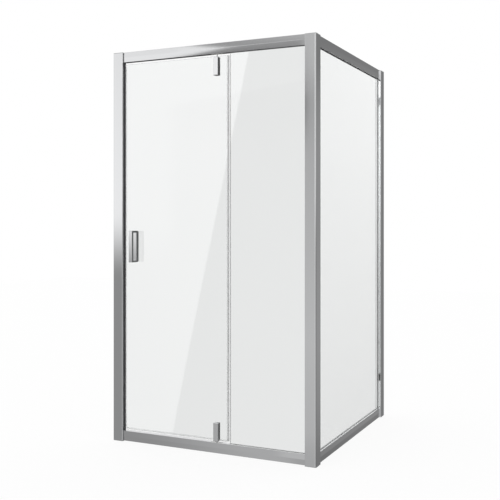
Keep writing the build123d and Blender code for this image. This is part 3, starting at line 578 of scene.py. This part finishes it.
class SHOWER_OT_finish_caps(bpy.types.Operator):
    """Finish the end caps, the foot of the post and the caps over the jamb screws"""

    bl_idname = "shower.finish_caps"
    bl_label = "Caps"

    def execute(self, context):
        look = context.scene.shower_trim
        cap = moulded_material(
            "grey cap", look.cap_colour, roughness=0.34, grain_scale=1100.0,
            extra={"Metallic": 0.35},
        )
        finish(CAPS, cap)
        return {"FINISHED"}


class SHOWER_OT_finish_fittings(bpy.types.Operator):
    """Finish the hinges and the handle"""

    bl_idname = "shower.finish_fittings"
    bl_label = "Hinges and handle"

    def execute(self, context):
        look = context.scene.shower_metal
        chrome = marked_metal(
            "chrome fitting", look.fitting_colour, look.fitting_roughness,
            marks=0.08, edge_round=look.edge_round,
        )
        finish(HINGE_SHELLS + HANDLE, chrome)
        return {"FINISHED"}


class SHOWER_OT_finish_fasteners(bpy.types.Operator):
    """Finish the screws, pins and hinge cores, and the nylon blocks, bushes and brackets"""

    bl_idname = "shower.finish_fasteners"
    bl_label = "Screws and bearings"

    def execute(self, context):
        metal = context.scene.shower_metal
        trim = context.scene.shower_trim
        steel = marked_metal(
            "stainless fastener", metal.fastener_colour, metal.fastener_roughness,
            marks=0.12, edge_round=0.0,
        )
        finish(FASTENERS, steel)
        nylon = moulded_material(
            "white nylon", trim.bearing_colour, roughness=0.45, grain_scale=800.0, extra={}
        )
        finish(BEARINGS, nylon)
        return {"FINISHED"}


def build_floor(look):
    """Pale floor with a faint shadow, hidden from mirrors and from rays through glass."""
    half = look.floor_half
    mesh = bpy.data.meshes.new("floor")
    mesh.from_pydata(
        [(-half, -half, 0.0), (half, -half, 0.0), (half, half, 0.0), (-half, half, 0.0)],
        [], [(0, 1, 2, 3)],
    )
    floor = bpy.data.objects.new("floor", mesh)
    bpy.context.scene.collection.objects.link(floor)
    floor.visible_glossy = False
    floor.visible_transmission = False
    material, tree, shader = new_material(
        "pale floor", {"Base Color": opaque(look.floor_colour), "Roughness": 0.9}
    )
    path = tree.nodes.new("ShaderNodeLightPath")
    white = tree.nodes.new("ShaderNodeEmission")
    blend = tree.nodes.new("ShaderNodeMixShader")
    share = combine(tree, "MULTIPLY", path.outputs["Is Camera Ray"], look.floor_whiteness)
    tree.links.new(share, blend.inputs["Fac"])
    tree.links.new(shader.outputs["BSDF"], blend.inputs[1])
    tree.links.new(white.outputs["Emission"], blend.inputs[2])
    tree.links.new(blend.outputs["Shader"], tree.nodes["Material Output"].inputs["Surface"])
    mesh.materials.append(material)


def angles(tree):
    """Turn and rise in degrees of the direction that a ray leaves in."""
    direction = tree.nodes.new("ShaderNodeTexCoord").outputs["Generated"]
    parts = tree.nodes.new("ShaderNodeSeparateXYZ")
    tree.links.new(direction, parts.inputs["Vector"])
    left = combine(tree, "MULTIPLY", parts.outputs["X"], -1.0)
    ahead = combine(tree, "MULTIPLY", parts.outputs["Y"], -1.0)
    turn = combine(tree, "ARCTAN2", left, ahead)
    rise = combine(tree, "ARCSINE", parts.outputs["Z"])
    return [combine(tree, "DEGREES", angle) for angle in (turn, rise)]


def shade_by_rise(tree, rise, stops):
    """Shade that follows a list of rises in degrees and their shades."""
    ramp = tree.nodes.new("ShaderNodeValToRGB")
    for _ in stops[2:]:
        ramp.color_ramp.elements.new(0.5)
    for element, (degrees, shade) in zip(ramp.color_ramp.elements, stops):
        element.position = (degrees - NADIR) / (ZENITH - NADIR)
        element.color = opaque((shade, shade, shade))
    share = spread(tree, rise, NADIR, ZENITH)
    share.node.interpolation_type = "LINEAR"
    tree.links.new(share, ramp.inputs["Fac"])
    return ramp.outputs["Color"]


def between(tree, value, edges):
    """Soft band of a value that starts, is full, begins to end and ends at four edges."""
    start, full, fall, end = edges
    risen = spread(tree, value, start, full)
    fallen = spread(tree, value, fall, end, to_low=1.0, to_high=0.0)
    return combine(tree, "MULTIPLY", risen, fallen)


def add_panels(tree, turn, rise, shade, panels):
    """Lays soft boxes and flags over a shade, one after another, with their names as labels."""
    for panel in panels:
        share = combine(
            tree, "MULTIPLY", between(tree, turn, panel.turn), between(tree, rise, panel.rise)
        )
        if panel.slant:
            lean, start, full = panel.slant
            slanted = combine(tree, "ADD", turn, combine(tree, "MULTIPLY", rise, lean))
            share = combine(tree, "MULTIPLY", share, spread(tree, slanted, start, full))
        own = spread(tree, rise, panel.rise[1], panel.rise[2], panel.low, panel.high)
        shade = mix(tree, share, shade, own)
        shade.node.label = panel.name
    return shade


def build_world():
    """White light all round, with one studio for the metal to mirror and one for the panes."""
    world = bpy.data.worlds.new("studio")
    world.use_nodes = True
    tree = world.node_tree
    turn, rise = angles(tree)
    back = spread(tree, combine(tree, "ABSOLUTE", turn), BACK_START, BACK_FULL)
    front_shade = shade_by_rise(tree, rise, FRONT_SHADES)
    back_shade = shade_by_rise(tree, rise, BACK_SHADES)
    room = mix(tree, back, front_shade, back_shade)
    metal_room = add_panels(tree, turn, rise, room, METAL_PANELS)
    pane_room = add_panels(tree, turn, rise, PANE_SHADE, PANE_PANELS)
    path = tree.nodes.new("ShaderNodeLightPath")
    mirrored = combine(tree, "GREATER_THAN", path.outputs["Glossy Depth"], FIRST_BOUNCE)
    outside = combine(tree, "LESS_THAN", path.outputs["Transmission Depth"], FIRST_BOUNCE)
    off_pane = combine(tree, "MULTIPLY", path.outputs["Is Singular Ray"], outside)
    studio = mix(tree, off_pane, metal_room, pane_room)
    shown = mix(tree, mirrored, 1.0, studio)
    tree.links.new(shown, tree.nodes["Background"].inputs["Color"])
    bpy.context.scene.world = world


def build_camera(look):
    """Camera at the viewing angle of the photograph."""
    data = bpy.data.cameras.new("camera")
    data.sensor_width = SENSOR_WIDTH
    data.lens = look.lens
    data.shift_x = look.shift_across
    data.shift_y = look.shift_up
    camera = bpy.data.objects.new("camera", data)
    camera.location = look.camera_place
    camera.rotation_euler = (math.pi / 2, 0.0, look.camera_turn)
    bpy.context.scene.collection.objects.link(camera)
    bpy.context.scene.camera = camera


class SHOWER_OT_build_stage(bpy.types.Operator):
    """Build the floor, the studio light and the camera"""

    bl_idname = "shower.build_stage"
    bl_label = "Stage"

    def execute(self, context):
        look = context.scene.shower_stage
        build_floor(look)
        build_world()
        build_camera(look)
        context.scene.view_settings.view_transform = "Standard"
        return {"FINISHED"}


class SHOWER_PT_panel(bpy.types.Panel):
    """Lists the enclosure's finishes and its stage"""

    bl_idname = "SHOWER_PT_panel"
    bl_label = "Shower Enclosure"
    bl_space_type = "VIEW_3D"
    bl_region_type = "UI"
    bl_category = "Shower"

    def draw(self, context):
        for operator in OPERATORS:
            self.layout.operator(operator.bl_idname)
        for name, group in SETTINGS.items():
            box = self.layout.box()
            for prop in group.__annotations__:
                box.prop(getattr(context.scene, name), prop)


SETTINGS = {
    "shower_metal": ShowerMetal,
    "shower_glass": ShowerGlass,
    "shower_trim": ShowerTrim,
    "shower_stage": ShowerStage,
}
OPERATORS = (
    SHOWER_OT_finish_uprights,
    SHOWER_OT_finish_rails,
    SHOWER_OT_finish_panes,
    SHOWER_OT_finish_seals,
    SHOWER_OT_finish_caps,
    SHOWER_OT_finish_fittings,
    SHOWER_OT_finish_fasteners,
    SHOWER_OT_build_stage,
)


def register():
    """Registers the settings, the operators and the panel."""
    for name, group in SETTINGS.items():
        bpy.utils.register_class(group)
        setattr(bpy.types.Scene, name, bpy.props.PointerProperty(type=group))
    for operator in OPERATORS:
        bpy.utils.register_class(operator)
    bpy.utils.register_class(SHOWER_PT_panel)


def unregister():
    """Removes the panel, the operators and the settings."""
    bpy.utils.unregister_class(SHOWER_PT_panel)
    for operator in reversed(OPERATORS):
        bpy.utils.unregister_class(operator)
    for name, group in reversed(SETTINGS.items()):
        delattr(bpy.types.Scene, name)
        bpy.utils.unregister_class(group)


def main():
    """Builds the finished enclosure."""
    register()
    for operator in OPERATORS:
        group, action = operator.bl_idname.split(".")
        getattr(getattr(bpy.ops, group), action)()


if __name__ == "__main__":
    main()
